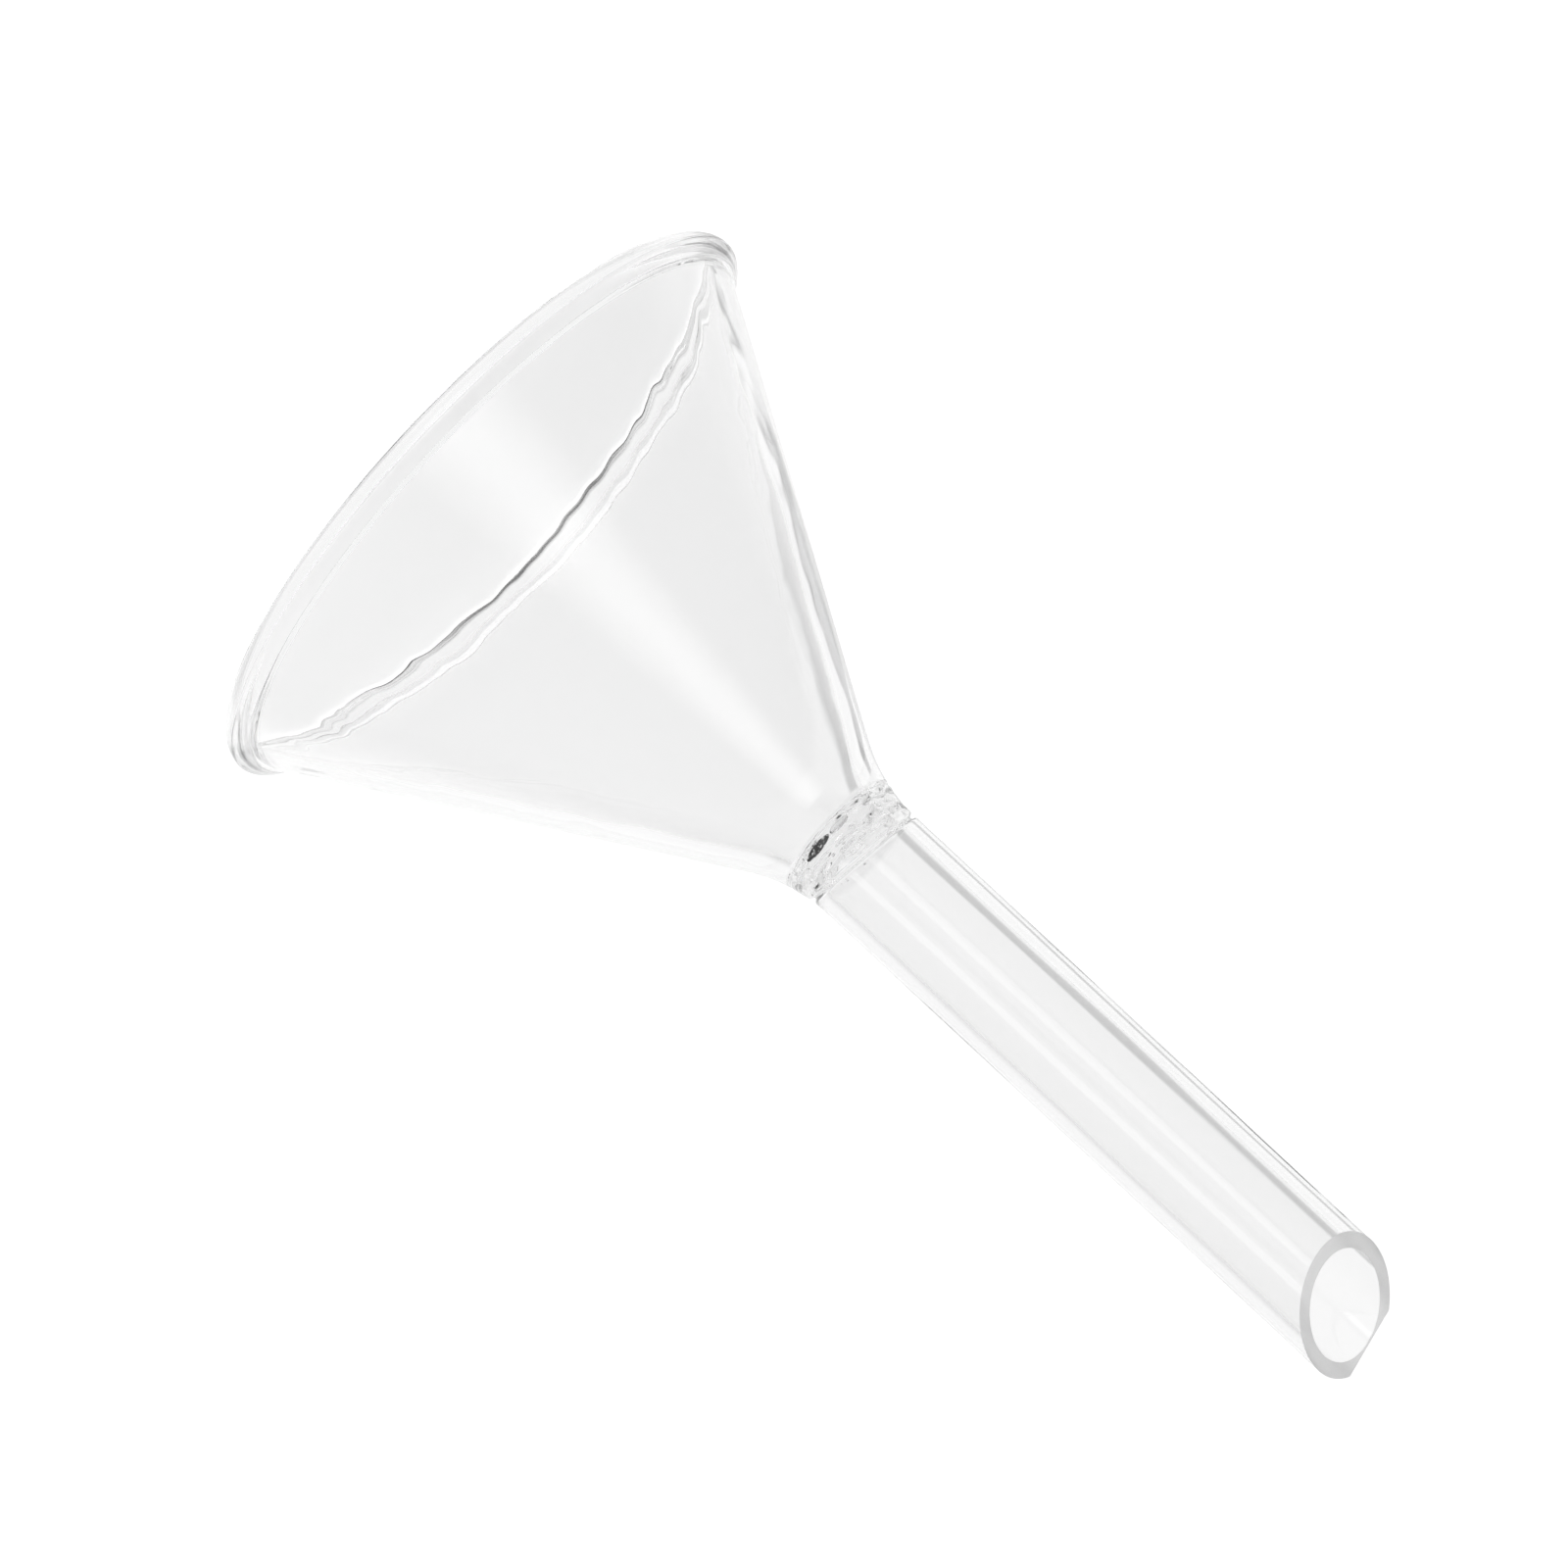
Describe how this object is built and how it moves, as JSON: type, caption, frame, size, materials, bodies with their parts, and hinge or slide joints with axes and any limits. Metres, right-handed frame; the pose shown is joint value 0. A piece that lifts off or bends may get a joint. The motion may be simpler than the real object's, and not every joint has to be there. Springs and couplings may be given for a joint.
{
  "type": "glass filter funnel",
  "caption": "Clear glass filter funnel: sixty degree cone with a beaded mouth, flame sealed to a short stem cut and ground on the slant.",
  "frame": {"origin": "centre of the mouth, on the flat land of the bead that the funnel stands on when it is put down mouth down", "axes": "+Z from the mouth through the neck to the tip of the stem, so the funnel is turned over for use; +X towards the side on which the slanted cut leaves the stem longest; the part is mirror symmetric about the XZ plane"},
  "size_m": [0.06, 0.06, 0.1065],
  "materials": {
    "rim_glass": "clear colourless glass, thick and fire polished, smooth",
    "cone_glass": "clear colourless glass, thin wall, smooth with a slight waviness",
    "seal_glass": "clear worked glass with folds and fine bubbles",
    "stem_glass": "clear drawn tube, smooth, with a matt ground face at the tip"
  },
  "bodies": {
    "root": {"rim_bead": "rim_glass", "cone": "cone_glass", "stem_seal": "seal_glass", "stem": "stem_glass"}
  },
  "joints": []
}
